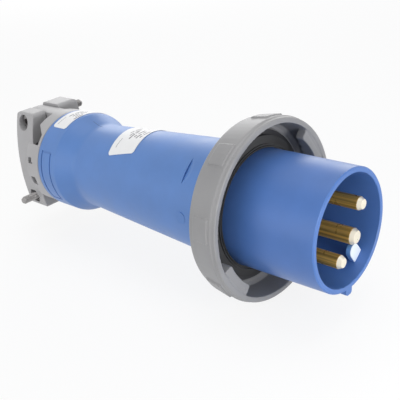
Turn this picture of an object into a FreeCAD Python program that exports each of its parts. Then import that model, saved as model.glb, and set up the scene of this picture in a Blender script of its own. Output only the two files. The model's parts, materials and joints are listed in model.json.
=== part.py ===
import FreeCAD, Part
import math
import os

# Industrial pin and sleeve plug with a bayonet locking ring and a rear cable clamp.
# Millimetres. The plug axis is X, its front points to +X, and +Z is up.
# The origin is the centre of the sleeve's front rim.
# Angles round the axis run from +Y towards +Z, in degrees.

V = FreeCAD.Vector
os.makedirs("parts", exist_ok=True)

# Fits and seats
SEAT_GAP = 0.3
RUN_GAP = 0.25
THREAD_GAP = 0.1

# How far a cutter or a fused root runs past the face it works on
SPARE = 1.0

# Sleeve, the blue shroud round the contacts
SLEEVE_R = 35.5
SLEEVE_DRAFT = 0.6
SLEEVE_WALL = 3.1
SLEEVE_REACH = 59.6
SLEEVE_LIP = 0.6
FLANGE_HEIGHT = 5.9
FLANGE_T = 3.0
JOURNAL_HEIGHT = 1.9
SPIGOT_STEP = 2.8
SPIGOT_LENGTH = 20.0
CARRIER_STEP = 3.0

# Keyway rib outside the sleeve and the small moulded key inside it
RIB_ANGLE = -94.7
RIB_HEIGHT = 3.4
RIB_WIDTH = 6.0
RIB_LENGTH = 30.0
RIB_ROUND = 2.0
CODING_KEY_ANGLE = 304.5
CODING_KEY_FRONT = 6.5
CODING_KEY_T = 3.5
CODING_KEY_WIDTH = 8.6
CODING_KEY_HEIGHT = 10.8
CODING_PEG_R = 1.2
CODING_PEG_DEPTH = 1.8

# Contact carrier and contacts
CARRIER_FRONT = 50.0
CARRIER_FLANGE_T = 6.0
CARRIER_LENGTH = 34.0
CONTACT_PITCH_R = 17.9
CONTACT_STEP = 72.0
EARTH_ANGLE = -39.5
LIVE_PIN_R = 4.0
EARTH_PIN_R = 5.0
LIVE_SETBACK = 0.6
EARTH_SETBACK = 4.4
TIP_LENGTH = 2.4
TIP_TAPER = 1.2
COLLAR_WALL = 0.8
TERMINAL_WALL = 2.4
TERMINAL_LENGTH = 20.0
WIRE_DEPTH = 15.0
TERMINAL_SCREW_R = 2.5
TERMINAL_SCREW_LENGTH = 6.0
TERMINAL_SCREW_BACK = 6.0
TERMINAL_SLOT_WIDTH = 0.8
TERMINAL_SLOT_DEPTH = 1.2
BLANK_R = 4.4
BLANK_DEPTH = 8.0
BLANK_STEPS = (2, 3)

# Screws that hold the carrier to the sleeve
CARRIER_SCREW_INSET = 6.9
CARRIER_SCREW_ANGLES = (51.0, 231.0)
CARRIER_SCREW_R = 1.75
CARRIER_SCREW_HEAD_R = 3.2
CARRIER_SCREW_HEAD_T = 2.4
CARRIER_SCREW_LENGTH = 12.0

# Locking ring
RING_LENGTH = 20.9
RING_SPACE = 16.0
RING_RIM = 4.1
RING_LIP_STEP = 0.8
RING_LIP_LENGTH = 2.6
RING_EDGE_ROUND = 0.5
RING_TAPER = 2.6
RING_WALL = 2.8
RING_BACK_T = 3.0
RING_FILLET = 3.0
PAD_COUNT = 8
PAD_ANGLE = 169.5
PAD_WIDTH = 14.5
PAD_HEIGHT = 1.0
PAD_MARGIN_FRONT = 4.9
PAD_MARGIN_REAR = 4.6
LUG_ANGLES = (34.0, 214.0)
LUG_WIDTH = 31.0
LUG_HEIGHT = 6.5
LUG_SETBACK = 0.4
LUG_T_START = 10.5
LUG_T_END = 5.5
LUG_STEPS = 4
LUG_ROUND = 1.5
LUG_SLOT_DEPTH = 0.7
LUG_SLOT_WIDTH = 0.6
LUG_SLOT_LENGTH = 30.0
LUG_SLOT_INSET = 2.4
STOP_ANGLES = (80.0, 260.0)
STOP_WIDTH = 12.0
STOP_HEIGHT = 2.4
RING_TURN = 45.0
STOP_PLAY = 1.0

# Slip washer between the sleeve's flange and the ring's back wall
RETAINER_T = 1.2
RETAINER_INSET = 5.6

# Face gasket, which wraps the sleeve's flange, and the seal ring between sleeve and handle
GASKET_T = 2.4
GASKET_LIP = 0.8
GASKET_GROOVE = 0.6
GASKET_STEP = 1.0
GASKET_SKIRT_T = 0.9
SEAL_WIDTH = 2.6

# Handle, a hollow moulding, as distances behind its own front face and outer radii
BODY_GAP = 0.5
BODY_LENGTH = 170.5
BODY_FLANGE_R = 40.6
BODY_FLANGE_T = 3.4
BODY_START_R = 37.6
BODY_MID = 32.0
BODY_MID_R = 35.9
NECK = 134.5
NECK_R = 30.5
NECK_ROUND = 10.0
BULGE = 149.5
BULGE_R = 36.9
BULGE_ROUND = 3.0
BODY_EDGE = 1.0
BODY_WALL = 3.4
REAR_WALL = 4.0
SOCKET_LEDGE = 3.0
SCALLOP = 22.6
SCALLOP_ANGLES = (132.5, 312.5)
SCALLOP_WIDTH = 30.0
SCALLOP_LENGTH = 4.6
BOSS_ANGLE = 178.2
BOSS_R = 3.7
BOSS_HEIGHT = 0.35

# Recessed blank panel on the bulge, its middle measured from the handle's rear
PANEL_FROM_REAR = 10.2
PANEL_LENGTH = 11.4
PANEL_ANGLE = 181.0
PANEL_WIDTH = 62.0
PANEL_DEPTH = 0.5
PANEL_GROOVE = 1.2

# Labels
LABEL_T = 0.27
LABEL_LIFT = 0.08
LABEL_CORNER = 2.0
FRONT_LABEL = 91.6
FRONT_LABEL_LENGTH = 23.5
FRONT_LABEL_ANGLE = 96.0
FRONT_LABEL_WIDTH = 72.0
FRONT_LABEL_TWIST = 9.0
REAR_LABEL = 159.0
REAR_LABEL_LENGTH = 15.0
REAR_LABEL_ANGLE = 85.0
REAR_LABEL_WIDTH = 70.0

# Cable entry
CABLE_R = 14.0
GROMMET_LENGTH = 15.0
GROMMET_INSET = 10.9
GROMMET_TAPER = 3.5
GROMMET_LIP = 4.0
GROMMET_BACKING = 6.0
WASHER_T = 2.0

# Clamp base: a plate with side skirts, shoulders above and below, and two arms behind it
BASE_STEP = 0.2
BASE_WALL = 3.0
BASE_PLATE_T = 3.0
BASE_HOLE_EXTRA = 3.0
SKIRT_LENGTH = 12.0
SKIRT_ANGLES = (4.0, 184.0)
SKIRT_WIDTH = 76.0
WINDOW_OFFSETS = (-18.0, 8.0)
WINDOW_WIDTHS = (7.0, 11.0)
WINDOW_LENGTH = 5.5
WINDOW_MARGIN = 2.0
SHOULDER_LENGTH = 9.5
SHOULDER_FRONT_HALF = 25.0
SHOULDER_BACK_HALF = 18.9
ARM_HALF = 6.0
ARM_DEPTH = 15.2
BASE_SCREW_INSET = 7.2
BASE_SCREW_ANGLES = (45.0, 135.0, 225.0, 315.0)
BASE_SCREW_R = 2.0
BASE_SCREW_HEAD_R = 3.6
BASE_SCREW_HEAD_T = 2.6
BASE_SCREW_LENGTH = 10.0
BASE_CROSS_HALF = 2.2
BASE_CROSS_WIDTH = 0.9

# Cable clamp jaws: distances out from the axis on the -Y side, heights from the base's radius
JAW_GAP = 21.5
JAW_LENGTH = 22.0
JAW_TOP_RISE = 0.9
JAW_BOTTOM_RISE = 1.7
JAW_TOP_REACH = 17.4
JAW_SIDE_REACH = 26.0
JAW_SIDE_DROP = 12.0
JAW_BOTTOM_REACH = 23.6
JAW_ROUND = 2.5
CORING_INNER = 17.6
CORING_WIDTH = 3.0
CORING_HEIGHT = 14.0
CORING_DEPTH = 12.0
CORING_RIB = 3.0

# Clamp screws and nuts
CLAMP_SCREW = 13.0
CLAMP_SCREW_INSET = 6.7
CLAMP_SCREW_R = 3.0
CLAMP_HEAD_R = 5.4
CLAMP_HEAD_T = 5.0
HEAD_BORE_R = 5.9
HEAD_SEAT_T = 5.2
CLAMP_SCREW_REACH = 48.0
CLAMP_TIP = 1.0
NUT_SEAT_T = 10.7
NUT_WIDTH = 10.0
NUT_T = 4.6
HEX_KEY_WIDTH = 5.0
HEX_KEY_DEPTH = 2.8

# Stations along the axis, measured behind the rim
gasket_front = SLEEVE_REACH
flange_front = gasket_front + GASKET_T
flange_back = flange_front + FLANGE_T
retainer_back = flange_back + RETAINER_T
ring_back_front = retainer_back + SEAT_GAP
ring_rear = ring_back_front + RING_BACK_T
ring_front = ring_rear - RING_LENGTH
lug_front = ring_front + LUG_SETBACK
body_front = ring_rear + BODY_GAP
flange_lip = body_front + BODY_FLANGE_T
spigot_back = body_front + SPIGOT_LENGTH
body_rear = body_front + BODY_LENGTH
carrier_flange_back = CARRIER_FRONT + CARRIER_FLANGE_T
carrier_back = CARRIER_FRONT + CARRIER_LENGTH
barrel_front = carrier_back + SEAT_GAP
barrel_back = barrel_front + TERMINAL_LENGTH
grommet_front = body_rear - GROMMET_LENGTH
base_seat = body_rear + BASE_PLATE_T
skirt_back = base_seat + SKIRT_LENGTH
jaw_front = body_rear + JAW_GAP
jaw_back = jaw_front + JAW_LENGTH
clamp_screw_back = jaw_front + CLAMP_SCREW

# Radii and reaches that several pieces share
sleeve_back_r = SLEEVE_R + SLEEVE_DRAFT
sleeve_bore_r = SLEEVE_R - SLEEVE_WALL
flange_r = sleeve_back_r + FLANGE_HEIGHT
journal_r = sleeve_back_r + JOURNAL_HEIGHT
stop_r = journal_r + STOP_HEIGHT
spigot_r = sleeve_back_r - SPIGOT_STEP
carrier_inner_r = sleeve_bore_r - CARRIER_STEP
carrier_screw_pitch_r = sleeve_bore_r - CARRIER_SCREW_INSET
ring_bore_r = sleeve_back_r + RING_SPACE
ring_edge_r = ring_bore_r + RING_RIM
ring_lip_r = ring_edge_r - RING_LIP_STEP
ring_rear_r = ring_edge_r - RING_TAPER
lug_r = ring_bore_r - LUG_HEIGHT
retainer_r = ring_bore_r - RETAINER_INSET
seal_inner_r = spigot_r + THREAD_GAP
grommet_r = BULGE_R - GROMMET_INSET
grommet_tip_r = grommet_r - GROMMET_TAPER
base_r = BULGE_R - BASE_STEP
base_screw_pitch_r = base_r - BASE_SCREW_INSET
clamp_screw_z = base_r - CLAMP_SCREW_INSET
jaw_top = base_r + JAW_TOP_RISE
jaw_bottom = base_r + JAW_BOTTOM_RISE
jaw_inner_y = ARM_HALF + SEAT_GAP
head_seat_y = jaw_inner_y + HEAD_SEAT_T
nut_seat_y = jaw_inner_y + NUT_SEAT_T


def polar(radius, angle, x=0.0):
    turn = math.radians(angle)
    return V(x, radius * math.cos(turn), radius * math.sin(turn))


def revolve(profile):
    """Full turn about X of a closed profile of (distance behind the rim, radius) points.

    A third value in a point rounds that corner with its radius.
    """
    corners = [V(-point[0], point[1], 0) for point in profile]
    arrivals = list(corners)
    departures = list(corners)
    edges = []
    for k, point in enumerate(profile):
        if len(point) > 2:
            rounding = point[2]
            to_last = (corners[k - 1] - corners[k]).normalize()
            to_next = (corners[(k + 1) % len(corners)] - corners[k]).normalize()
            half = to_last.getAngle(to_next) / 2
            inwards = (to_last + to_next).normalize()
            arrivals[k] = corners[k] + to_last * (rounding / math.tan(half))
            departures[k] = corners[k] + to_next * (rounding / math.tan(half))
            middle = corners[k] + inwards * (rounding / math.sin(half) - rounding)
            edges.append(Part.Arc(arrivals[k], middle, departures[k]).toShape())
    for k in range(len(corners)):
        edges.append(Part.LineSegment(departures[k - 1], arrivals[k]).toShape())
    wire = Part.Wire(Part.sortEdges(edges)[0])
    return Part.Face(wire).revolve(V(0, 0, 0), V(1, 0, 0), 360)


def tube(front, back, outer, inner):
    return revolve([(front, inner), (front, outer), (back, outer), (back, inner)])


def rod(front, back, radius, centre=V(0, 0, 0)):
    """A cylinder along X from front to back, both measured behind the rim."""
    return Part.makeCylinder(radius, back - front, V(-back, centre.y, centre.z), V(1, 0, 0))


def sector(front, back, inner, outer, middle, width):
    """A ring sector about the axis, middle and width in degrees."""
    profile = [V(-front, inner, 0), V(-front, outer, 0), V(-back, outer, 0), V(-back, inner, 0)]
    face = Part.Face(Part.makePolygon(profile + [profile[0]]))
    face.rotate(V(0, 0, 0), V(1, 0, 0), middle - width / 2)
    return face.revolve(V(0, 0, 0), V(1, 0, 0), width)


def block(front, back, y_low, y_high, z_low, z_high):
    return Part.makeBox(back - front, y_high - y_low, z_high - z_low, V(-back, y_low, z_low))


def turned(shape, angle):
    copy = shape.copy()
    copy.rotate(V(0, 0, 0), V(1, 0, 0), angle)
    return copy


def lengthways(shape):
    """The straight edges of a solid that run along the plug axis."""
    return [edge for edge in shape.Edges if edge.BoundBox.XLength > SPARE]


def hexagon(width, height, base, axis):
    """A hexagonal prism of the given width across flats, from base along axis."""
    corner_r = width / math.sqrt(3)
    points = [V(corner_r * math.cos(math.radians(60 * k)), corner_r * math.sin(math.radians(60 * k)), 0)
              for k in range(7)]
    prism = Part.Face(Part.makePolygon(points)).extrude(V(0, 0, height))
    prism.Placement = FreeCAD.Placement(base, FreeCAD.Rotation(V(0, 0, 1), axis))
    return prism


def save(shape, node):
    shape = shape.removeSplitter()
    assert shape.isValid(), node
    shape.exportStep("parts/" + node + ".step")
    print(node, "solids", len(shape.Solids), "volume", round(shape.Volume, 1))


def make_sleeve():
    shape = revolve([
        (SLEEVE_LIP, SLEEVE_R),
        (flange_front, sleeve_back_r),
        (flange_front, flange_r),
        (flange_back, flange_r),
        (flange_back, journal_r),
        (body_front, journal_r),
        (body_front, spigot_r),
        (spigot_back, spigot_r),
        (spigot_back, carrier_inner_r),
        (carrier_flange_back, carrier_inner_r),
        (carrier_flange_back, sleeve_bore_r),
        (SLEEVE_LIP / 2, sleeve_bore_r),
        (0, sleeve_bore_r + SLEEVE_LIP / 2),
        (0, SLEEVE_R - SLEEVE_LIP),
    ])

    # Keyway rib, flush with the rim
    rib_root = SLEEVE_R - SLEEVE_WALL / 2
    rib_top = SLEEVE_R + RIB_HEIGHT
    rib = block(0, RIB_LENGTH, -RIB_WIDTH / 2, RIB_WIDTH / 2, rib_root, rib_top)
    top_edges = [edge for edge in lengthways(rib) if edge.BoundBox.ZMin > rib_root + SPARE]
    rib = rib.makeFillet(RIB_ROUND, top_edges)
    shape = shape.fuse(turned(rib, RIB_ANGLE - 90))

    # Blind hole for the coding key's peg
    shape = shape.cut(coding_peg(CODING_PEG_R + THREAD_GAP, CODING_PEG_DEPTH + THREAD_GAP))

    # Stops that limit the locking ring's turn
    for angle in STOP_ANGLES:
        shape = shape.fuse(sector(ring_back_front, body_front, spigot_r + SPARE, stop_r, angle, STOP_WIDTH))

    # Blind holes for the carrier screws
    for angle in CARRIER_SCREW_ANGLES:
        shape = shape.cut(rod(carrier_flange_back - SPARE, carrier_flange_back + CARRIER_SCREW_LENGTH,
                              CARRIER_SCREW_R + THREAD_GAP, polar(carrier_screw_pitch_r, angle)))
    return shape


def coding_peg(radius, depth):
    """A round peg that points outwards from inside the sleeve, depth past its bore."""
    start = sleeve_bore_r - 2 * SPARE
    middle = CODING_KEY_FRONT + CODING_KEY_T / 2
    peg = Part.makeCylinder(radius, sleeve_bore_r + depth - start, V(-middle, 0, start), V(0, 0, 1))
    return turned(peg, CODING_KEY_ANGLE - 90)


def make_coding_key():
    """A small D-shaped key on the sleeve's inside wall, round towards the axis."""
    round_r = CODING_KEY_WIDTH / 2
    round_z = sleeve_bore_r - CODING_KEY_HEIGHT + round_r
    back = CODING_KEY_FRONT + CODING_KEY_T
    shape = rod(CODING_KEY_FRONT, back, round_r, V(0, 0, round_z))
    shape = shape.fuse(block(CODING_KEY_FRONT, back, -round_r, round_r, round_z, sleeve_bore_r + SPARE))
    shape = shape.common(rod(CODING_KEY_FRONT, back, sleeve_bore_r - THREAD_GAP))
    return turned(shape, CODING_KEY_ANGLE - 90).fuse(coding_peg(CODING_PEG_R, CODING_PEG_DEPTH))


# Each contact as its node name, angle round the axis, pin radius and setback from the rim
CONTACTS = [
    ("live_pin_1", EARTH_ANGLE + CONTACT_STEP, LIVE_PIN_R, LIVE_SETBACK),
    ("live_pin_2", EARTH_ANGLE - CONTACT_STEP, LIVE_PIN_R, LIVE_SETBACK),
    ("earth_pin", EARTH_ANGLE, EARTH_PIN_R, EARTH_SETBACK),
]


def make_carrier():
    shape = rod(CARRIER_FRONT, carrier_flange_back - SEAT_GAP, sleeve_bore_r - RUN_GAP)
    shape = shape.fuse(rod(CARRIER_FRONT, carrier_back, carrier_inner_r - RUN_GAP))
    for _, angle, pin_r, _ in CONTACTS:
        centre = polar(CONTACT_PITCH_R, angle)
        collar_r = pin_r + COLLAR_WALL + THREAD_GAP
        shape = shape.cut(rod(CARRIER_FRONT - SPARE, carrier_back + SPARE, collar_r, centre))
    for steps in BLANK_STEPS:
        centre = polar(CONTACT_PITCH_R, EARTH_ANGLE + steps * CONTACT_STEP)
        shape = shape.cut(rod(CARRIER_FRONT - SPARE, CARRIER_FRONT + BLANK_DEPTH, BLANK_R, centre))
    for angle in CARRIER_SCREW_ANGLES:
        centre = polar(carrier_screw_pitch_r, angle)
        shape = shape.cut(rod(CARRIER_FRONT - SPARE, carrier_back + SPARE, CARRIER_SCREW_R + RUN_GAP, centre))
        shape = shape.cut(rod(CARRIER_FRONT - SPARE, CARRIER_FRONT + CARRIER_SCREW_HEAD_T,
                              CARRIER_SCREW_HEAD_R + RUN_GAP, centre))
    return shape


def make_contact(angle, pin_r, setback):
    """A turned pin with a chamfered tip, a wider collar in the carrier and a drilled terminal barrel."""
    collar_r = pin_r + COLLAR_WALL
    barrel_r = pin_r + TERMINAL_WALL
    shape = revolve([
        (setback, 0),
        (setback, pin_r - TIP_TAPER),
        (setback + TIP_LENGTH, pin_r),
        (CARRIER_FRONT, pin_r),
        (CARRIER_FRONT, collar_r),
        (barrel_front, collar_r),
        (barrel_front, barrel_r),
        (barrel_back, barrel_r),
        (barrel_back, pin_r),
        (barrel_back - WIRE_DEPTH, pin_r),
        (barrel_back - WIRE_DEPTH, 0),
    ])
    screw_hole = Part.makeCylinder(TERMINAL_SCREW_R + THREAD_GAP, barrel_r + SPARE,
                                   V(-(barrel_back - TERMINAL_SCREW_BACK), 0, 0), V(0, 1, 0))
    shape = turned(shape.cut(screw_hole), angle)
    shape.translate(polar(CONTACT_PITCH_R, angle))
    return shape


def make_terminal_screws():
    screws = []
    station = barrel_back - TERMINAL_SCREW_BACK
    for _, angle, pin_r, _ in CONTACTS:
        start = pin_r - SPARE
        top = start + TERMINAL_SCREW_LENGTH
        screw = Part.makeCylinder(TERMINAL_SCREW_R, TERMINAL_SCREW_LENGTH, V(-station, start, 0), V(0, 1, 0))
        slot = block(station - TERMINAL_SCREW_R, station + TERMINAL_SCREW_R, top - TERMINAL_SLOT_DEPTH,
                     top + SPARE, -TERMINAL_SLOT_WIDTH / 2, TERMINAL_SLOT_WIDTH / 2)
        screw = turned(screw.cut(slot), angle)
        screw.translate(polar(CONTACT_PITCH_R, angle))
        screws.append(screw)
    return Part.makeCompound(screws)


def make_carrier_screws():
    screws = []
    for angle in CARRIER_SCREW_ANGLES:
        centre = polar(carrier_screw_pitch_r, angle)
        head = rod(CARRIER_FRONT, CARRIER_FRONT + CARRIER_SCREW_HEAD_T, CARRIER_SCREW_HEAD_R, centre)
        end = carrier_flange_back + CARRIER_SCREW_LENGTH - SPARE
        screws.append(head.fuse(rod(CARRIER_FRONT, end, CARRIER_SCREW_R, centre)))
    return Part.makeCompound(screws)


def ring_outer(back):
    """Outer radius of the ring's taper between its front edge and its rear."""
    edge = ring_front + RING_LIP_LENGTH
    return ring_edge_r + (ring_rear_r - ring_edge_r) * (back - edge) / (ring_rear - edge)


def make_lug(middle):
    """A bayonet lug inside the ring, with a stepped ramp behind and a straight slot across its front."""
    root_r = ring_bore_r + RING_LIP_STEP
    outline = sector(lug_front, lug_front + LUG_T_START, lug_r, root_r, middle, LUG_WIDTH)
    inner_corners = [edge for edge in lengthways(outline)
                     if math.hypot(edge.CenterOfMass.y, edge.CenterOfMass.z) < ring_bore_r]
    outline = outline.makeFillet(LUG_ROUND, inner_corners)
    width = LUG_WIDTH / LUG_STEPS
    steps = []
    for k in range(LUG_STEPS):
        depth = LUG_T_START + (LUG_T_END - LUG_T_START) * k / (LUG_STEPS - 1)
        angle = middle - LUG_WIDTH / 2 + width * (k + 0.5)
        steps.append(sector(lug_front, lug_front + depth, lug_r - SPARE, root_r + SPARE, angle, width))
    lug = outline.common(steps[0].fuse(steps[1:]))
    slot_z = ring_bore_r - LUG_SLOT_INSET
    slot = block(lug_front - SPARE, lug_front + LUG_SLOT_DEPTH, -LUG_SLOT_LENGTH / 2, LUG_SLOT_LENGTH / 2,
                 slot_z - LUG_SLOT_WIDTH / 2, slot_z + LUG_SLOT_WIDTH / 2)
    return lug.cut(turned(slot, middle - 90))


def make_locking_ring():
    rear_bore_r = ring_rear_r - RING_WALL
    hole_r = journal_r + RUN_GAP
    shape = revolve([
        (ring_front, ring_bore_r),
        (ring_front, ring_lip_r, RING_EDGE_ROUND),
        (ring_front + RING_LIP_LENGTH, ring_lip_r),
        (ring_front + RING_LIP_LENGTH, ring_edge_r, RING_EDGE_ROUND),
        (ring_rear - SPARE, ring_outer(ring_rear - SPARE)),
        (ring_rear, ring_rear_r - SPARE),
        (ring_rear, hole_r),
        (ring_back_front, hole_r),
        (ring_back_front, retainer_r + RUN_GAP),
        (ring_back_front - SPARE, retainer_r + SPARE),
        (ring_back_front - SPARE, rear_bore_r - 2 * SPARE),
        (ring_back_front - RING_FILLET, rear_bore_r),
    ])

    # Raised grip pads round the outside
    pad_front = ring_front + PAD_MARGIN_FRONT
    pad_back = ring_rear - PAD_MARGIN_REAR
    band = revolve([
        (pad_front, ring_outer(pad_front) - SPARE),
        (pad_front, ring_outer(pad_front) + PAD_HEIGHT),
        (pad_back, ring_outer(pad_back) + PAD_HEIGHT),
        (pad_back, ring_outer(pad_back) - SPARE),
    ])
    for k in range(PAD_COUNT):
        keep = sector(pad_front - SPARE, pad_back + SPARE, ring_bore_r - SPARE, ring_edge_r + 2 * PAD_HEIGHT,
                      PAD_ANGLE + 360.0 * k / PAD_COUNT, PAD_WIDTH)
        shape = shape.fuse(band.common(keep))

    for middle in LUG_ANGLES:
        shape = shape.fuse(make_lug(middle))

    # Notches that let the ring turn between the two stops
    notch_width = STOP_WIDTH + RING_TURN + 2 * STOP_PLAY
    for angle in STOP_ANGLES:
        shape = shape.cut(sector(ring_back_front - 2 * SPARE, ring_rear + SPARE, hole_r - SPARE,
                                 stop_r + SEAT_GAP, angle - RING_TURN / 2, notch_width))
    return shape


def make_ring_retainer():
    return tube(flange_back, retainer_back, retainer_r, journal_r + RUN_GAP)


def make_face_gasket():
    """A rubber ring with two sealing lips and a broad face, whose skirt wraps the flange's edge."""
    inner = sleeve_back_r + SEAT_GAP
    groove_inner = inner + GASKET_LIP
    groove_outer = groove_inner + GASKET_GROOVE
    face_inner = groove_outer + GASKET_LIP
    skirt_inner = flange_r + SEAT_GAP
    skirt_outer = skirt_inner + GASKET_SKIRT_T
    return revolve([
        (gasket_front, inner),
        (gasket_front, groove_inner),
        (gasket_front + GASKET_STEP, groove_inner),
        (gasket_front + GASKET_STEP, groove_outer),
        (gasket_front, groove_outer),
        (gasket_front, face_inner),
        (gasket_front + GASKET_STEP, face_inner),
        (gasket_front + 2 * GASKET_STEP, skirt_outer),
        (flange_back, skirt_outer),
        (flange_back, skirt_inner),
        (flange_front, skirt_inner),
        (flange_front, inner),
    ])


def make_housing_seal():
    """A square-cut ring in the corner between the journal and the handle's front."""
    return tube(body_front, body_front + SEAL_WIDTH, seal_inner_r + SEAL_WIDTH, seal_inner_r)


def body_line(offset=0.0):
    """The handle's outer line from its front flange to its rear band, moved in by offset."""
    return [
        (flange_lip, BODY_START_R - offset),
        (body_front + BODY_MID, BODY_MID_R - offset),
        (body_front + NECK, NECK_R - offset, NECK_ROUND),
        (body_front + BULGE, BULGE_R - offset, BULGE_ROUND),
        (body_rear - BODY_EDGE, BULGE_R - offset),
    ]


def body_radius(back):
    """Outer radius of the handle at a distance behind the rim, without its rounded corners."""
    line = [point[:2] for point in body_line()]
    for (front, front_r), (rear, rear_r) in zip(line, line[1:]):
        if back <= rear:
            return front_r + (rear_r - front_r) * (back - front) / (rear - front)
    return BULGE_R


def make_main_housing():
    shape = revolve([(body_front, 0), (body_front, BODY_FLANGE_R), (flange_lip - BODY_EDGE, BODY_FLANGE_R),
                     (flange_lip, BODY_FLANGE_R - BODY_EDGE)] + body_line()
                    + [(body_rear, BULGE_R - BODY_EDGE), (body_rear, 0)])

    # The hollow, open to the socket in front and to the cable entry behind
    hollow = body_line(BODY_WALL)[:-1] + [(body_rear - REAR_WALL, BULGE_R - BODY_WALL)]
    shape = shape.cut(revolve([(flange_lip, 0)] + hollow + [(body_rear - REAR_WALL, 0)]))
    socket_r = spigot_r + RUN_GAP
    shape = shape.fuse(tube(flange_lip + SOCKET_LEDGE, spigot_back + SOCKET_LEDGE, BODY_MID_R - SPARE,
                            socket_r - SOCKET_LEDGE))
    shape = shape.cut(rod(body_front - SPARE, spigot_back + SEAT_GAP, socket_r))
    seal_outer_r = seal_inner_r + SEAL_WIDTH
    shape = shape.cut(rod(body_front - SPARE, body_front + SEAL_WIDTH, seal_outer_r + THREAD_GAP))
    shape = shape.cut(rod(body_rear - REAR_WALL - SPARE, body_rear + SPARE, grommet_r + RUN_GAP))

    # Grommet seat, a cone inside the rear end that also carries the base screws
    lip_front = grommet_front - 2 * SPARE
    seat_r = BULGE_R - BODY_WALL + SPARE
    shape = shape.fuse(revolve([
        (lip_front, grommet_tip_r - GROMMET_LIP),
        (lip_front, BULGE_R - BODY_WALL - GROMMET_BACKING),
        (grommet_front, seat_r),
        (body_rear - REAR_WALL, seat_r),
        (body_rear - REAR_WALL, grommet_r + RUN_GAP),
        (grommet_front, grommet_tip_r + RUN_GAP),
        (grommet_front, grommet_tip_r - GROMMET_LIP),
    ]))
    for angle in BASE_SCREW_ANGLES:
        shape = shape.cut(rod(body_rear - BASE_SCREW_LENGTH, body_rear + SPARE, BASE_SCREW_R + THREAD_GAP,
                              polar(base_screw_pitch_r, angle)))

    # Shallow scallops and a low round boss near the front
    for angle in SCALLOP_ANGLES:
        shape = shape.cut(make_scallop(angle))
    boss_top = body_radius(body_front + SCALLOP) + BOSS_HEIGHT
    boss_foot = V(-(body_front + SCALLOP), 0, boss_top - BODY_WALL)
    boss = Part.makeCylinder(BOSS_R, BODY_WALL, boss_foot, V(0, 0, 1))
    shape = shape.fuse(turned(boss, BOSS_ANGLE - 90))

    # A shallow groove round the blank panel on the bulge
    middle = body_rear - PANEL_FROM_REAR
    reach = PANEL_LENGTH / 2
    border = sector(middle - reach, middle + reach, BULGE_R - PANEL_DEPTH, BULGE_R + SPARE,
                    PANEL_ANGLE, PANEL_WIDTH)
    reach -= PANEL_GROOVE
    field = sector(middle - reach, middle + reach, BULGE_R - 2 * SPARE, BULGE_R + 2 * SPARE,
                   PANEL_ANGLE, PANEL_WIDTH - 2 * math.degrees(PANEL_GROOVE / BULGE_R))
    return shape.cut(border.cut(field))


def make_scallop(angle):
    """A wedge cutter with a flat sloping floor, deepest at the scallop's rear edge."""
    middle = body_front + SCALLOP
    surface = body_radius(middle)
    floor = surface * math.cos(math.radians(SCALLOP_WIDTH / 2))
    half_chord = surface * math.sin(math.radians(SCALLOP_WIDTH / 2))
    front = middle - SCALLOP_LENGTH / 2
    back = middle + SCALLOP_LENGTH / 2
    profile = [V(-back, -half_chord, floor), V(-back, -half_chord, surface + SPARE),
               V(-front, -half_chord, surface + SPARE), V(-front, -half_chord, surface)]
    wedge = Part.Face(Part.makePolygon(profile + [profile[0]])).extrude(V(0, 2 * half_chord, 0))
    return turned(wedge, angle - 90)


def make_label(middle, length, angle, width, twist):
    """A thin sticker with rounded corners, bent round the handle and twisted on it."""
    half_chord = body_radius(middle) * math.sin(math.radians(width / 2))
    reach = length / 2 + half_chord * math.sin(math.radians(twist))
    front, back = middle - reach, middle + reach
    front_r = body_radius(front) + LABEL_LIFT
    back_r = body_radius(back) + LABEL_LIFT
    band = revolve([(front, front_r), (front, front_r + LABEL_T), (back, back_r + LABEL_T), (back, back_r)])
    patch = Part.makeBox(length, 2 * half_chord, 2 * BODY_MID_R, V(-length / 2, -half_chord, 0))
    patch = patch.makeFillet(LABEL_CORNER, [edge for edge in patch.Edges if edge.BoundBox.ZLength > SPARE])
    patch.rotate(V(0, 0, 0), V(0, 0, 1), twist)
    patch.translate(V(-middle, 0, 0))
    return band.common(turned(patch, angle - 90))


def make_grommet():
    knee = body_rear - REAR_WALL
    front = grommet_front + SEAT_GAP
    tip_r = grommet_tip_r + GROMMET_TAPER * SEAT_GAP / (knee - grommet_front)
    back = body_rear - WASHER_T
    return revolve([(front, CABLE_R), (front, tip_r), (knee, grommet_r), (back, grommet_r), (back, CABLE_R)])


def make_grommet_washer():
    return tube(body_rear - WASHER_T, body_rear, grommet_r, CABLE_R + SPARE)


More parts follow.
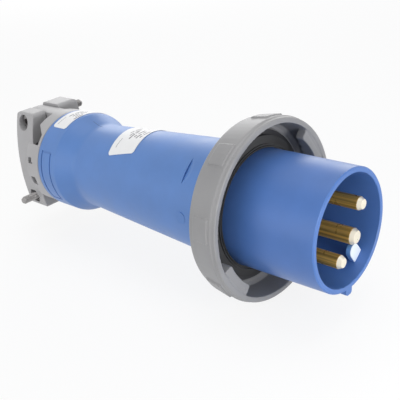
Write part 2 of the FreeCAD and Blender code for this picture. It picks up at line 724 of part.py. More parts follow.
def make_clamp_base():
    inner_r = base_r - BASE_WALL
    shape = tube(body_rear, base_seat, base_r, CABLE_R + BASE_HOLE_EXTRA)

    # Side skirts with two windows each
    for middle in SKIRT_ANGLES:
        shape = shape.fuse(sector(base_seat - SPARE, skirt_back, inner_r, base_r, middle, SKIRT_WIDTH))
        window_back = skirt_back - WINDOW_MARGIN
        for offset, width in zip(WINDOW_OFFSETS, WINDOW_WIDTHS):
            shape = shape.cut(sector(window_back - WINDOW_LENGTH, window_back, inner_r - SPARE,
                                     base_r + SPARE, middle + offset, width))

    # Shoulders above and below, narrower towards the rear
    shoulder_back = base_seat + SHOULDER_LENGTH
    wall = tube(base_seat, shoulder_back, base_r, inner_r)
    below = -2 * base_r
    corners = [V(-base_seat, -SHOULDER_FRONT_HALF, below), V(-base_seat, SHOULDER_FRONT_HALF, below),
               V(-shoulder_back, SHOULDER_BACK_HALF, below), V(-shoulder_back, -SHOULDER_BACK_HALF, below)]
    wedge = Part.Face(Part.makePolygon(corners + [corners[0]])).extrude(V(0, 0, -2 * below))
    shape = shape.fuse(wall.common(wedge))

    # Arms between the jaws, each with a hole for a clamp screw
    for up in (1, -1):
        low, high = sorted((up * (base_r - ARM_DEPTH), up * 2 * base_r))
        arm = block(body_rear, jaw_back, -ARM_HALF, ARM_HALF, low, high)
        hole = Part.makeCylinder(CLAMP_SCREW_R + RUN_GAP, 4 * ARM_HALF,
                                 V(-clamp_screw_back, -2 * ARM_HALF, up * clamp_screw_z), V(0, 1, 0))
        shape = shape.fuse(arm.common(rod(body_rear, jaw_back, base_r))).cut(hole)

    for angle in BASE_SCREW_ANGLES:
        shape = shape.cut(rod(body_rear - SPARE, base_seat + SPARE, BASE_SCREW_R + RUN_GAP,
                              polar(base_screw_pitch_r, angle)))
    return shape


def make_base_screws():
    """Four cross-head screws that hold the clamp base to the handle."""
    screws = []
    slot_front = base_seat + BASE_SCREW_HEAD_T / 2
    slot_back = base_seat + BASE_SCREW_HEAD_T + SPARE
    thin = BASE_CROSS_WIDTH / 2
    for angle in BASE_SCREW_ANGLES:
        centre = polar(base_screw_pitch_r, angle)
        head = rod(base_seat, base_seat + BASE_SCREW_HEAD_T, BASE_SCREW_HEAD_R, centre)
        for y_half, z_half in ((BASE_CROSS_HALF, thin), (thin, BASE_CROSS_HALF)):
            head = head.cut(block(slot_front, slot_back, centre.y - y_half, centre.y + y_half,
                                  centre.z - z_half, centre.z + z_half))
        shank = rod(body_rear - BASE_SCREW_LENGTH + SPARE, base_seat + SPARE, BASE_SCREW_R, centre)
        screws.append(head.fuse(shank))
    return Part.makeCompound(screws)


def make_jaw():
    """The jaw on the -Y side. The other jaw is the same piece turned half round about the axis."""
    def corner(reach, height):
        return V(-jaw_front, -reach, height)
    top, bottom = corner(JAW_TOP_REACH, jaw_top), corner(JAW_BOTTOM_REACH, -jaw_bottom)
    inner_top, inner_bottom = corner(jaw_inner_y, jaw_top), corner(jaw_inner_y, -jaw_bottom)
    outline = Part.Wire([
        Part.LineSegment(inner_top, top).toShape(),
        Part.Arc(top, corner(JAW_SIDE_REACH, -JAW_SIDE_DROP), bottom).toShape(),
        Part.LineSegment(bottom, inner_bottom).toShape(),
        Part.LineSegment(inner_bottom, inner_top).toShape(),
    ])
    shape = Part.Face(outline).extrude(V(-JAW_LENGTH, 0, 0))
    outer_corners = [edge for edge in lengthways(shape) if edge.BoundBox.YMax < -jaw_inner_y - SPARE]
    shape = shape.makeFillet(JAW_ROUND, outer_corners)

    # The cable's channel, and two narrow slots in the front that keep the moulding's walls even
    shape = shape.cut(rod(jaw_front - SPARE, jaw_back + SPARE, CABLE_R))
    for low in (CORING_RIB / 2, -CORING_RIB / 2 - CORING_HEIGHT):
        shape = shape.cut(block(jaw_front - SPARE, jaw_front + CORING_DEPTH, -CORING_INNER - CORING_WIDTH,
                                -CORING_INNER, low, low + CORING_HEIGHT))

    # The upper ear takes a screw head, the lower ear holds a captive nut
    outside = 2 * JAW_SIDE_REACH
    for z in (clamp_screw_z, -clamp_screw_z):
        shape = shape.cut(Part.makeCylinder(CLAMP_SCREW_R + RUN_GAP, outside, V(-clamp_screw_back, 0, z),
                                            V(0, -1, 0)))
    head_seat = V(-clamp_screw_back, -head_seat_y, clamp_screw_z)
    nut_seat = V(-clamp_screw_back, -nut_seat_y, -clamp_screw_z)
    shape = shape.cut(Part.makeCylinder(HEAD_BORE_R, outside, head_seat, V(0, -1, 0)))
    return shape.cut(hexagon(NUT_WIDTH + 2 * RUN_GAP, outside, nut_seat, V(0, -1, 0)))


def make_clamp_screw():
    """The upper screw: its head sits in the -Y jaw and its end stands out past the +Y jaw."""
    def along(y):
        return V(-clamp_screw_back, y, clamp_screw_z)
    head_top = -head_seat_y - CLAMP_HEAD_T
    head = Part.makeCylinder(CLAMP_HEAD_R, CLAMP_HEAD_T, along(head_top), V(0, 1, 0))
    socket = hexagon(HEX_KEY_WIDTH, HEX_KEY_DEPTH + SPARE, along(head_top + HEX_KEY_DEPTH), V(0, -1, 0))
    shank_end = -head_seat_y + CLAMP_SCREW_REACH - CLAMP_TIP
    shank = Part.makeCylinder(CLAMP_SCREW_R, shank_end + head_seat_y, along(-head_seat_y), V(0, 1, 0))
    tip = Part.makeCone(CLAMP_SCREW_R, CLAMP_SCREW_R - CLAMP_TIP, CLAMP_TIP, along(shank_end), V(0, 1, 0))
    return head.cut(socket).fuse([shank, tip])


def make_clamp_nut():
    """The nut in the lower ear of the -Y jaw."""
    seat = V(-clamp_screw_back, -nut_seat_y, -clamp_screw_z)
    nut = hexagon(NUT_WIDTH, NUT_T, seat, V(0, -1, 0))
    hole = Part.makeCylinder(CLAMP_SCREW_R + THREAD_GAP, 4 * NUT_T, seat + V(0, 2 * NUT_T, 0), V(0, -1, 0))
    return nut.cut(hole)


save(make_sleeve(), "sleeve")
save(make_coding_key(), "coding_key")
save(make_carrier(), "contact_carrier")
for name, angle, pin_r, setback in CONTACTS:
    save(make_contact(angle, pin_r, setback), name)
save(make_terminal_screws(), "terminal_screws")
save(make_carrier_screws(), "carrier_screws")
save(make_locking_ring(), "locking_ring")
save(make_ring_retainer(), "ring_retainer")
save(make_face_gasket(), "face_gasket")
save(make_housing_seal(), "housing_seal")
save(make_main_housing(), "main_housing")
save(make_label(body_front + FRONT_LABEL, FRONT_LABEL_LENGTH, FRONT_LABEL_ANGLE, FRONT_LABEL_WIDTH,
                FRONT_LABEL_TWIST), "front_label")
save(make_label(body_front + REAR_LABEL, REAR_LABEL_LENGTH, REAR_LABEL_ANGLE, REAR_LABEL_WIDTH, 0),
     "rear_label")
save(make_grommet(), "cable_grommet")
save(make_grommet_washer(), "grommet_washer")
save(make_clamp_base(), "clamp_base")
save(make_base_screws(), "base_screws")
jaw = make_jaw()
screw = make_clamp_screw()
nut = make_clamp_nut()
save(jaw, "clamp_jaw_left")
save(turned(jaw, 180), "clamp_jaw_right")
save(screw, "clamp_screw_upper")
save(turned(screw, 180), "clamp_screw_lower")
save(nut, "clamp_nut_lower")
save(turned(nut, 180), "clamp_nut_upper")
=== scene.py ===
import json
import math

import bpy
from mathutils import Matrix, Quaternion, Vector
from mathutils.bvhtree import BVHTree


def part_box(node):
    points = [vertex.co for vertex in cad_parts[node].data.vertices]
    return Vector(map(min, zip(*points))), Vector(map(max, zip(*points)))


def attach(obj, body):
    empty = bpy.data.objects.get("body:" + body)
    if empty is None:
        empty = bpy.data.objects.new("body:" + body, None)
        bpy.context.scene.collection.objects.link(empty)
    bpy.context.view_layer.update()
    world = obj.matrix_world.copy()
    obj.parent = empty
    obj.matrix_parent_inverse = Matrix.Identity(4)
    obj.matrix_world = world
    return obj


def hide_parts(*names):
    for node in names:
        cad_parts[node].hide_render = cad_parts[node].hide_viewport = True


# Industrial pin and sleeve plug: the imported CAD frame, dressed. Metres; the plug axis is X.

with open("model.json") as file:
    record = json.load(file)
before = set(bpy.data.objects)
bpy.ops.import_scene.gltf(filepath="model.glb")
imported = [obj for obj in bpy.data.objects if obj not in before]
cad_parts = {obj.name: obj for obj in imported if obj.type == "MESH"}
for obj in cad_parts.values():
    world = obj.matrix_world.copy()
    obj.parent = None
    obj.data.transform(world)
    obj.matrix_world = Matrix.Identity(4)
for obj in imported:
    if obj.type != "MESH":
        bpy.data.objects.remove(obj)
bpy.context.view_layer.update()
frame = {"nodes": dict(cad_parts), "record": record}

MM = 0.001

# Camera, at the photograph's viewing angle
CAMERA_PLACE = (0.1649, -0.2687, 0.1703)
CAMERA_TARGET = (-0.1085, -0.0032, -0.0049)
CAMERA_ROLL = -7.43
CAMERA_LENS = 58.5
CAMERA_NEAR = 0.01
SENSOR = 36.0

# The floor, just under the locking ring
FLOOR_Z = -57.0 * MM
FLOOR_SIDE = 3.0
FLOOR_GLOW = 0.85
FLOOR_GREY = (0.88, 0.88, 0.88)

# The studio's even light, and its lamps: place, width, height and watts, all aimed at the plug's middle
WORLD_LIGHT = 0.55
WORLD_TINT = (0.97, 0.98, 1.0)
WHITE = (1.0, 1.0, 1.0)
MIDDLE = (-0.12, 0.0, 0.0)
LAMPS = {
    "key_light": ((-0.35, -0.75, 0.22), 0.8, 0.5, 1.7),
    "top_light": ((-0.1, 0.1, 0.9), 0.8, 0.6, 2.5),
    "rim_light": ((-1.3, 1.5, 0.6), 1.8, 1.0, 12.0),
    "fill_light": ((0.26, -0.07, 0.06), 0.16, 0.16, 0.55),
}

# Rounding of the moulded pieces: voxel size, smoothing passes, share of triangles kept
CLAMP_ROUNDING = (0.35 * MM, 6, 0.4)
RING_ROUNDING = (0.45 * MM, 2, 0.5)
KEY_ROUNDING = (0.15 * MM, 22, 0.5)
WELD_REACH = 0.001 * MM
SMOOTHING = 0.5

# Radius of the rounded outer edges of the jaws
JAW_EDGE = 3.0 * MM

# Clamp screws: shares of the CAD screw's own box, then the details
SHANK_SHARE = 3.0 / 5.4
HEAD_SHARE = 5.0 / 53.0
THREAD_SHARE = 26.0 / 53.0
THREAD_PITCH = 1.0 * MM
THREAD_DEPTH = 0.5 * MM
THREAD_STEPS = 6
ROUND_STEPS = 36
HEAD_CHAMFER = 0.5 * MM
HEX_KEY_WIDTH = 5.0 * MM
HEX_KEY_DEPTH = 2.8 * MM
KNURL_DEPTH = 0.12 * MM
AXIS_R = 0.01 * MM

# Generic printed bars on the labels: place on the axis and angle at both ends, then width, in mm and degrees
PRINT_T = 0.04 * MM
PRINT_STEPS = 12
FRONT_BARS = [
    (-166.5, 124.0, -167.2, 109.0, 0.35),
    (-166.2, 97.0, -165.9, 91.0, 0.9),
    (-165.9, 89.0, -165.6, 79.0, 0.9),
    (-163.5, 102.5, -163.3, 96.0, 1.0),
    (-163.2, 94.0, -163.0, 84.0, 1.0),
    (-160.9, 108.5, -161.2, 97.5, 1.1),
    (-161.2, 95.5, -161.4, 90.0, 1.1),
    (-158.2, 104.0, -158.2, 99.0, 1.0),
    (-158.2, 97.0, -158.2, 86.0, 1.0),
    (-155.5, 105.5, -155.4, 96.0, 1.1),
    (-155.4, 94.0, -155.3, 88.5, 1.1),
    (-152.8, 103.5, -152.6, 99.5, 0.9),
    (-152.6, 97.5, -152.4, 87.0, 0.9),
]
REAR_BARS = [
    (-233.2, 115.5, -233.0, 102.5, 0.35),
    (-231.2, 99.5, -231.0, 93.0, 1.0),
    (-231.0, 91.0, -230.9, 80.0, 1.0),
    (-228.3, 98.0, -228.3, 89.0, 0.9),
    (-228.3, 87.0, -228.3, 76.0, 0.9),
    (-225.6, 97.5, -225.5, 91.5, 0.9),
    (-225.5, 89.5, -225.4, 81.0, 0.9),
    (-223.2, 103.0, -222.9, 90.0, 1.0),
]

# The chamfer of the contacts' tips, which is painted pale as a painted highlight
PIN_CHAMFER = 2.2 * MM

# The parting line's witness mark on the handle's flare: a low ridge, painted dark blue as the painted shade
# of a groove
SEAM_ANGLE = 90.0
SEAM_FRONT = -201.5 * MM
SEAM_BACK = -211.5 * MM
SEAM_HALF_WIDTH = 0.25 * MM
SEAM_HEIGHT = 0.1 * MM
SEAM_STEPS = 8

# Textures: noise cells in a metre, bump depths, and how far the roughness wanders
FLOW_SCALE = 45.0
GRAIN_SCALE = 900.0
GRAIN_DEPTH = 0.02 * MM
LINE_SCALES = (2.0, 480.0, 480.0)
LINE_DEPTH = 0.004 * MM
TARNISH_SCALE = 120.0
BLOOM_SCALE = 160.0
RUBBER_GRAIN_SCALE = 1800.0
RUBBER_ROUGHNESS = (0.5, 0.7)
GLOSS_SPREAD = 0.05
FRONT_BLEND = 0.1 * MM

# Colours, linear, and how much darker or lighter some pieces are than theirs
BLUE = (0.102, 0.223, 0.525)
SLEEVE_BLUE = (0.072, 0.170, 0.455)
GREY_RING = (0.285, 0.283, 0.287)
GREY_CLAMP = (0.40, 0.395, 0.40)
RETAINER_BLACK = (0.05, 0.05, 0.055)
RUBBER_BLACK = (0.03, 0.03, 0.031)
LABEL_WHITE = (0.84, 0.84, 0.84)
INK_GREY = (0.16, 0.16, 0.17)
BRASS = (0.86, 0.52, 0.12)
# Painted highlight: the pale colour of the contacts' chamfered tips
PAINTED_TIP_HIGHLIGHT = (0.82, 0.76, 0.62)
STEEL = (0.36, 0.35, 0.35)
KEY_BLUE = (0.16, 0.36, 0.76)
# Painted light: the pale colour painted on the coding key's front face
KEY_PAINTED_LIGHT = (0.80, 0.87, 0.95)
CARRIER_SHADE = 0.5
# Painted shade: how dark the parting line's mark is painted
SEAM_PAINTED_SHADE = 0.45
BLOOM_SHADE = 1.5

# Where the coding key's front face begins, which is painted pale as painted light for the light that falls on
# it
KEY_FACE_DEPTH = 0.5 * MM
KEY_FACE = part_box("coding_key")[1].x - KEY_FACE_DEPTH


def node_tree(name):
    """A new material with a Principled shader, as (material, nodes, links, shader)."""
    material = bpy.data.materials.new(name)
    material.use_nodes = True
    nodes = material.node_tree.nodes
    return material, nodes, material.node_tree.links, nodes["Principled BSDF"]


def add_noise(nodes, links, coordinates, scale, detail):
    """Noise from 0 to 1, which stays mostly between 0.3 and 0.7."""
    noise = nodes.new("ShaderNodeTexNoise")
    noise.inputs["Scale"].default_value = scale
    noise.inputs["Detail"].default_value = detail
    links.new(coordinates, noise.inputs["Vector"])
    return noise.outputs["Fac"]


def add_range(nodes, links, value, low, high, from_low=0.3, from_high=0.7):
    """Carries a value from one range, by default the noise's usual one, to another."""
    ranged = nodes.new("ShaderNodeMapRange")
    ranged.inputs["From Min"].default_value = from_low
    ranged.inputs["From Max"].default_value = from_high
    ranged.inputs["To Min"].default_value = low
    ranged.inputs["To Max"].default_value = high
    links.new(value, ranged.inputs["Value"])
    return ranged.outputs["Result"]


def add_mix(nodes, links, factor, first, second):
    """Mixes two colours; each may be a colour or a socket."""
    mix = nodes.new("ShaderNodeMix")
    mix.data_type = "RGBA"
    links.new(factor, mix.inputs["Factor"])
    for socket, colour in (("A", first), ("B", second)):
        target = [s for s in mix.inputs if s.name == socket and s.type == "RGBA"][0]
        if isinstance(colour, tuple):
            target.default_value = (*colour, 1.0)
        else:
            links.new(colour, target)
    return [s for s in mix.outputs if s.type == "RGBA"][0]


def add_bump(nodes, links, height, distance, strength):
    """A normal that follows a height."""
    bump = nodes.new("ShaderNodeBump")
    bump.inputs["Distance"].default_value = distance
    bump.inputs["Strength"].default_value = strength
    links.new(height, bump.inputs["Height"])
    return bump.outputs["Normal"]


def shade(colour, factor):
    """The colour made darker or lighter."""
    return tuple(channel * factor for channel in colour)


def add_front(nodes, links, coordinates, tone, place, colour):
    """Another colour in front of a place on the axis."""
    axes = nodes.new("ShaderNodeSeparateXYZ")
    links.new(coordinates, axes.inputs["Vector"])
    ahead = add_range(nodes, links, axes.outputs["X"], 0.0, 1.0, place - FRONT_BLEND, place + FRONT_BLEND)
    return add_mix(nodes, links, ahead, tone, colour)


def moulded_plastic(name, colour, roughness, mottle=0.06, gloss=0.5, front=None):
    """Injection-moulded nylon: faint flow mottling, fine grain and an uneven satin gloss."""
    material, nodes, links, shader = node_tree(name)
    coordinates = nodes.new("ShaderNodeTexCoord").outputs["Object"]
    flow = add_noise(nodes, links, coordinates, FLOW_SCALE, detail=3.0)
    speck = add_noise(nodes, links, coordinates, GRAIN_SCALE, detail=2.0)
    patches = add_range(nodes, links, flow, 0.0, 1.0)
    tone = add_mix(nodes, links, patches, shade(colour, 1 - mottle), shade(colour, 1 + mottle))
    if front:
        tone = add_front(nodes, links, coordinates, tone, *front)
    sheen = add_range(nodes, links, flow, roughness - GLOSS_SPREAD, roughness + GLOSS_SPREAD)
    links.new(tone, shader.inputs["Base Color"])
    shader.inputs["Specular IOR Level"].default_value = gloss
    links.new(sheen, shader.inputs["Roughness"])
    links.new(add_bump(nodes, links, speck, GRAIN_DEPTH, strength=0.6), shader.inputs["Normal"])
    return material


def drawn_metal(name, colour, roughness, metallic, streak, front=None):
    """Drawn metal with lines along the plug axis."""
    material, nodes, links, shader = node_tree(name)
    coordinates = nodes.new("ShaderNodeTexCoord").outputs["Object"]
    stretch = nodes.new("ShaderNodeMapping")
    stretch.inputs["Scale"].default_value = LINE_SCALES
    links.new(coordinates, stretch.inputs["Vector"])
    lines = add_noise(nodes, links, stretch.outputs["Vector"], 1.0, detail=2.0)
    tarnish = add_noise(nodes, links, coordinates, TARNISH_SCALE, detail=4.0)
    sharp_lines = add_range(nodes, links, lines, 0.0, 1.0, from_low=0.4, from_high=0.6)
    tone = add_mix(nodes, links, sharp_lines, shade(colour, 1 - streak), colour)
    if front:
        tone = add_front(nodes, links, coordinates, tone, *front)
    sheen = add_range(nodes, links, tarnish, roughness - GLOSS_SPREAD, roughness + GLOSS_SPREAD)
    links.new(tone, shader.inputs["Base Color"])
    shader.inputs["Metallic"].default_value = metallic
    links.new(sheen, shader.inputs["Roughness"])
    links.new(add_bump(nodes, links, lines, LINE_DEPTH, strength=0.4), shader.inputs["Normal"])
    return material


def rubber(name, colour):
    """Moulded rubber: matt, with a fine grain and a pale bloom in patches."""
    material, nodes, links, shader = node_tree(name)
    coordinates = nodes.new("ShaderNodeTexCoord").outputs["Object"]
    bloom = add_noise(nodes, links, coordinates, BLOOM_SCALE, detail=4.0)
    grain = add_noise(nodes, links, coordinates, RUBBER_GRAIN_SCALE, detail=2.0)
    tone = add_mix(nodes, links, add_range(nodes, links, bloom, 0.0, 1.0), colour, shade(colour, BLOOM_SHADE))
    links.new(tone, shader.inputs["Base Color"])
    links.new(add_range(nodes, links, bloom, *RUBBER_ROUGHNESS), shader.inputs["Roughness"])
    links.new(add_bump(nodes, links, grain, GRAIN_DEPTH, strength=0.7), shader.inputs["Normal"])
    return material


def contact_brass(node):
    """A contact's drawn brass, with a painted highlight on its chamfered tip."""
    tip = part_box(node)[1].x - PIN_CHAMFER
    return drawn_metal(node + "_brass", BRASS, roughness=0.3, metallic=0.4, streak=0.6,
                       front=(tip, PAINTED_TIP_HIGHLIGHT))


materials = {
    "blue_sleeve": moulded_plastic("blue_sleeve", SLEEVE_BLUE, roughness=0.38, gloss=0.38),
    "blue_housing": moulded_plastic("blue_housing", BLUE, roughness=0.4, gloss=0.4),
    "blue_carrier": moulded_plastic("blue_carrier", shade(BLUE, CARRIER_SHADE), roughness=0.5),
    # The coding key's front face is painted pale: painted light on its lit face
    "pale_key": moulded_plastic("pale_key", KEY_BLUE, roughness=0.3, mottle=0.02, front=(KEY_FACE, KEY_PAINTED_LIGHT)),
    "grey_ring": moulded_plastic("grey_ring", GREY_RING, roughness=0.42),
    "grey_clamp": moulded_plastic("grey_clamp", GREY_CLAMP, roughness=0.45),
    "ring_retainer": moulded_plastic("ring_retainer", RETAINER_BLACK, roughness=0.4),
    "black_rubber": rubber("black_rubber", RUBBER_BLACK),
    "steel": drawn_metal("steel", STEEL, roughness=0.35, metallic=1.0, streak=0.15),
    "white_label": moulded_plastic("white_label", LABEL_WHITE, roughness=0.5, mottle=0.01),
}
# The parting line's dark blue is painted shade, standing for the shade in a groove
seam_painted_shade = moulded_plastic("seam_painted_shade", shade(BLUE, SEAM_PAINTED_SHADE), roughness=0.5)
label_ink = moulded_plastic("label_ink", INK_GREY, roughness=0.5, mottle=0.3)


def dress_cad_nodes():
    """Gives every CAD node the material of its record slot, and each contact a brass of its own."""
    slot_of = {part["node"]: part["material_slot"] for part in frame["record"]["subparts"]}
    for name, obj in frame["nodes"].items():
        material = contact_brass(name) if slot_of[name] == "brass" else materials[slot_of[name]]
        for material_slot in obj.material_slots:
            material_slot.material = material


def add_object(name, data):
    """Puts a new object in the scene."""
    obj = bpy.data.objects.new(name, data)
    bpy.context.scene.collection.objects.link(obj)
    return obj


def add_piece(name, mesh, body, material):
    """Puts a mesh in the scene as a piece that rides on a body."""
    mesh.materials.clear()
    mesh.materials.append(material)
    piece = add_object(name, mesh)
    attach(piece, body)
    return piece


def skin(name, rows, caps=()):
    """A mesh over equal rows of points, each row a closed ring."""
    width = len(rows[0])
    points = [point for row in rows for point in row]
    faces = list(caps)
    for r in range(len(rows) - 1):
        for c in range(width):
            after = (c + 1) % width
            faces.append((r * width + c, r * width + after, (r + 1) * width + after, (r + 1) * width + c))
    mesh = bpy.data.meshes.new(name)
    mesh.from_pydata(points, [], faces)
    mesh.update()
    return mesh


def round_long_edges(mesh, radius):
    """Pulls the points near the four outer edges that run along Y onto a fillet."""
    points = [v.co for v in mesh.vertices]
    x_low, x_high = min(p.x for p in points) + radius, max(p.x for p in points) - radius
    z_low, z_high = min(p.z for p in points) + radius, max(p.z for p in points) - radius
    for point in points:
        across = point.x - min(max(point.x, x_low), x_high)
        up = point.z - min(max(point.z, z_low), z_high)
        reach = math.hypot(across, up)
        if across and up and reach > radius:
            point.x += across * (radius / reach - 1)
            point.z += up * (radius / reach - 1)


def add_rounded_copy(node, body, slot, rounding, edge=0.0):
    """Stands for a moulded CAD node: the same form with its sharp edges rounded off."""
    voxel, passes, keep = rounding
    work = add_object(node + "_work", frame["nodes"][node].data.copy())
    weld = work.modifiers.new("weld", "WELD")
    weld.merge_threshold = WELD_REACH
    remesh = work.modifiers.new("remesh", "REMESH")
    remesh.mode = "VOXEL"
    remesh.voxel_size = voxel
    remesh.use_smooth_shade = True
    relax = work.modifiers.new("relax", "SMOOTH")
    relax.factor = SMOOTHING
    relax.iterations = passes
    thin = work.modifiers.new("thin", "DECIMATE")
    thin.ratio = keep
    graph = bpy.context.evaluated_depsgraph_get()
    mesh = bpy.data.meshes.new_from_object(work.evaluated_get(graph))
    bpy.data.objects.remove(work)
    if edge:
        round_long_edges(mesh, edge)
    piece = add_piece(node + "_moulding", mesh, body, materials[slot])
    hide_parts(node)


def hexagon_radius(turn):
    """Radius of the key socket's hexagon at an angle from its centre."""
    return HEX_KEY_WIDTH / 2 / math.cos((turn + math.pi / 6) % (math.pi / 3) - math.pi / 6)


def add_clamp_screw(node, body, head_low):
    """A cap screw with a knurled head, a hexagon socket, a plain neck, a thread and a pointed end."""
    low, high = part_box(node)
    centre = (low + high) / 2
    head_r = (high.x - low.x) / 2
    length = high.y - low.y
    shank_r = head_r * SHANK_SHARE
    head_t = length * HEAD_SHARE
    neck = length * (1 - THREAD_SHARE)
    start, way = (low.y, 1) if head_low else (high.y, -1)
    turns = [2 * math.pi * k / ROUND_STEPS for k in range(ROUND_STEPS)]

    def loop(radius, along):
        """One ring of points; the radius is a number or depends on the turn."""
        sizes = [radius(turn) if callable(radius) else radius for turn in turns]
        return [(centre.x + r * math.cos(turn), start + way * along, centre.z + r * math.sin(turn))
                for r, turn in zip(sizes, turns)]

    def knurl(turn):
        """The head's radius, with every other point a little lower."""
        return head_r - KNURL_DEPTH * (round(turn / turns[1]) % 2)

    def thread(along):
        """The thread's radius by turn, at a place along the screw."""
        def radius(turn):
            phase = (along / THREAD_PITCH + turn / (2 * math.pi)) % 1
            return shank_r - THREAD_DEPTH * abs(2 * phase - 1)
        return radius

    rows = [
        loop(AXIS_R, HEX_KEY_DEPTH), loop(hexagon_radius, HEX_KEY_DEPTH), loop(hexagon_radius, 0.0),
        loop(head_r - HEAD_CHAMFER, 0.0), loop(knurl, HEAD_CHAMFER), loop(knurl, head_t - HEAD_CHAMFER),
        loop(head_r - HEAD_CHAMFER, head_t), loop(shank_r, head_t), loop(shank_r, neck),
    ]
    step = THREAD_PITCH / THREAD_STEPS
    for k in range(THREAD_STEPS, int((length - neck) / step) - THREAD_STEPS):
        along = neck + k * step
        rows.append(loop(thread(along), along))
    rows += [loop(shank_r - THREAD_PITCH, length), loop(AXIS_R, length)]
    mesh = skin(node + "_detail", rows)
    if head_low:
        mesh.flip_normals()
    piece = add_piece(node + "_detail", mesh, body, materials["steel"])
    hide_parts(node)


def surface_finder(node):
    """A function that finds the CAD node's outer surface at a place on the axis and an angle round it."""
    mesh = frame["nodes"][node].data
    tree = BVHTree.FromPolygons([v.co for v in mesh.vertices], [p.vertices for p in mesh.polygons])
    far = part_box("locking_ring")[1].z

    def find(x, turn, lift):
        out = Vector((0.0, math.cos(turn), math.sin(turn)))
        hit = tree.ray_cast(Vector((x, 0, 0)) + out * far, -out)[0]
        return hit + out * lift
    return find


def add_label_print(node, bars):
    """Generic grey bars where such a label has its printed lines."""
    find = surface_finder(node)
    for number, (x1, angle1, x2, angle2, width) in enumerate(bars):
        rows = []
        half = width * MM / 2
        for k in range(PRINT_STEPS + 1):
            share = k / PRINT_STEPS
            x = (x1 + (x2 - x1) * share) * MM
            turn = math.radians(angle1 + (angle2 - angle1) * share)
            rows.append([find(x - half, turn, 0), find(x - half, turn, PRINT_T),
                         find(x + half, turn, PRINT_T), find(x + half, turn, 0)])
        last = 4 * len(rows)
        caps = [(3, 2, 1, 0), (last - 4, last - 3, last - 2, last - 1)]
        mesh = skin(f"{node}_bar_{number}", rows, caps)
        add_piece(f"{node}_bar_{number}", mesh, "plug", label_ink)


def add_seam_mark():
    """The faint line that the mould leaves on the handle's flare: a low ridge, and its dark blue is a painted
    shade.
    """
    find = surface_finder("main_housing")
    rows = []
    half = SEAM_HALF_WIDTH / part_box("main_housing")[1].z
    turn = math.radians(SEAM_ANGLE)
    for k in range(SEAM_STEPS + 1):
        x = SEAM_FRONT + (SEAM_BACK - SEAM_FRONT) * k / SEAM_STEPS
        rows.append([find(x, turn - half, 0), find(x, turn, SEAM_HEIGHT), find(x, turn + half, 0)])
    last = 3 * len(rows)
    mesh = skin("parting_line", rows, [(0, 1, 2), (last - 1, last - 2, last - 3)])
    add_piece("parting_line", mesh, "plug", seam_painted_shade)


def aim(obj, place, target, roll=0.0):
    """Puts a camera or a lamp in its place and turns it to its target."""
    obj.location = place
    obj.rotation_mode = "QUATERNION"
    turn = (Vector(target) - Vector(place)).to_track_quat("-Z", "Y")
    obj.rotation_quaternion = turn @ Quaternion((0, 0, 1), math.radians(roll))


def add_camera():
    """The camera, solved from the photograph's ellipses."""
    data = bpy.data.cameras.new("camera")
    data.lens = CAMERA_LENS
    data.sensor_width = SENSOR
    data.clip_start = CAMERA_NEAR
    camera = add_object("camera", data)
    aim(camera, CAMERA_PLACE, CAMERA_TARGET, CAMERA_ROLL)
    bpy.context.scene.camera = camera


def shown_white(nodes, links, share):
    """A factor: the share for rays from the camera, a reflection or a clear part, and 0 for light."""
    path = nodes.new("ShaderNodeLightPath")
    total = path.outputs["Is Camera Ray"]
    for kind in ("Is Glossy Ray", "Is Transmission Ray"):
        either = nodes.new("ShaderNodeMath")
        either.operation = "MAXIMUM"
        links.new(total, either.inputs[0])
        links.new(path.outputs[kind], either.inputs[1])
        total = either.outputs[0]
    scaled = nodes.new("ShaderNodeMath")
    scaled.operation = "MULTIPLY"
    scaled.inputs[1].default_value = share
    links.new(total, scaled.inputs[0])
    return scaled.outputs[0]


def add_shader(nodes, kind, colour, strength=None):
    """A shader of one colour, with a strength where its kind has one."""
    shader = nodes.new(kind)
    shader.inputs["Color"].default_value = (*colour, 1.0)
    if strength is not None:
        shader.inputs["Strength"].default_value = strength
    return shader


def mix_by_ray(tree, lit, seen, share, output_kind):
    """Ends a node tree: light meets the first shader, and the camera sees a share of the second."""
    nodes, links = tree.nodes, tree.links
    mix = nodes.new("ShaderNodeMixShader")
    links.new(shown_white(nodes, links, share), mix.inputs[0])
    links.new(lit.outputs[0], mix.inputs[1])
    links.new(seen.outputs[0], mix.inputs[2])
    output = nodes.new(output_kind)
    links.new(mix.outputs[0], output.inputs[0])


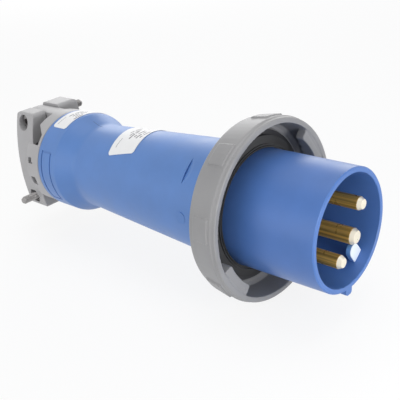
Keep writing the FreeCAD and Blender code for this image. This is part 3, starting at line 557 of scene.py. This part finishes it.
def add_floor():
    """A plain pale floor that keeps the object's shadow and shows as near white."""
    corners = [(x * FLOOR_SIDE, y * FLOOR_SIDE, FLOOR_Z) for x, y in ((-1, -1), (1, -1), (1, 1), (-1, 1))]
    mesh = bpy.data.meshes.new("floor")
    mesh.from_pydata(corners, [], [(0, 1, 2, 3)])
    floor = add_object("floor", mesh)
    material = bpy.data.materials.new("floor")
    material.use_nodes = True
    tree = material.node_tree
    tree.nodes.clear()
    diffuse = add_shader(tree.nodes, "ShaderNodeBsdfDiffuse", FLOOR_GREY)
    glow = add_shader(tree.nodes, "ShaderNodeEmission", WHITE, 1.0)
    mix_by_ray(tree, diffuse, glow, FLOOR_GLOW, "ShaderNodeOutputMaterial")
    mesh.materials.append(material)


def add_world():
    """Even light from all round, behind a background that shows as white."""
    world = bpy.data.worlds.new("studio")
    world.use_nodes = True
    tree = world.node_tree
    tree.nodes.clear()
    soft = add_shader(tree.nodes, "ShaderNodeBackground", WORLD_TINT, WORLD_LIGHT)
    white = add_shader(tree.nodes, "ShaderNodeBackground", WHITE, 1.0)
    mix_by_ray(tree, soft, white, 1.0, "ShaderNodeOutputWorld")
    bpy.context.scene.world = world


def add_area_light(name, place, width, height, watts):
    """A soft rectangular lamp."""
    data = bpy.data.lights.new(name, "AREA")
    data.shape = "RECTANGLE"
    data.size = width
    data.size_y = height
    data.energy = watts
    aim(add_object(name, data), place, target=MIDDLE)


dress_cad_nodes()
add_rounded_copy("clamp_base", "plug", "grey_clamp", CLAMP_ROUNDING)
add_rounded_copy("clamp_jaw_left", "left_jaw", "grey_clamp", CLAMP_ROUNDING, JAW_EDGE)
add_rounded_copy("clamp_jaw_right", "right_jaw", "grey_clamp", CLAMP_ROUNDING, JAW_EDGE)
add_rounded_copy("locking_ring", "ring", "grey_ring", RING_ROUNDING)
add_rounded_copy("coding_key", "plug", "pale_key", KEY_ROUNDING)
add_clamp_screw("clamp_screw_upper", "left_jaw", True)
add_clamp_screw("clamp_screw_lower", "right_jaw", False)
add_label_print("front_label", FRONT_BARS)
add_label_print("rear_label", REAR_BARS)
add_seam_mark()

add_camera()
add_floor()
add_world()
for lamp, (place, width, height, watts) in LAMPS.items():
    add_area_light(lamp, place, width, height, watts)

bpy.context.scene.view_settings.view_transform = "Standard"
